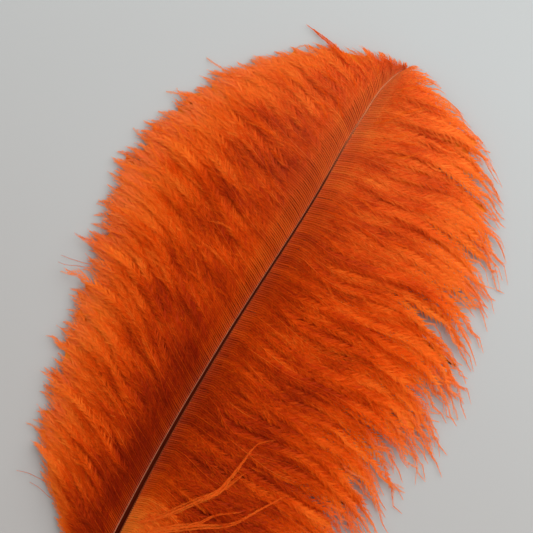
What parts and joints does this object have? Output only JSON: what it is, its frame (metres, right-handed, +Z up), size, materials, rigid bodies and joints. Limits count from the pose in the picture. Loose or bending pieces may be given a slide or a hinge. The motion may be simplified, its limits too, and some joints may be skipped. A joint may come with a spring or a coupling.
{
  "type": "ostrich feather",
  "caption": "Bright orange dyed ostrich plume lying flat: a dark grooved shaft with a bare quill end, and soft vanes of long barbs that droop in loose locks to wispy edges.",
  "frame": {"origin": "on the resting surface, under the middle of the feather's box", "axes": "+Y along the feather from the quill to the tip, +X across it towards the longer vane, +Z up out of the resting surface, with the shaft's groove up"},
  "size_m": [0.1938, 0.3432, 0.02],
  "materials": {
    "shaft": "smooth satin horn, dark in the groove and paler on its rims",
    "vane": "soft dyed barbs with a faint silky sheen"
  },
  "bodies": {
    "root": {"shaft": "shaft", "left_vane": "vane", "right_vane": "vane"}
  },
  "joints": []
}
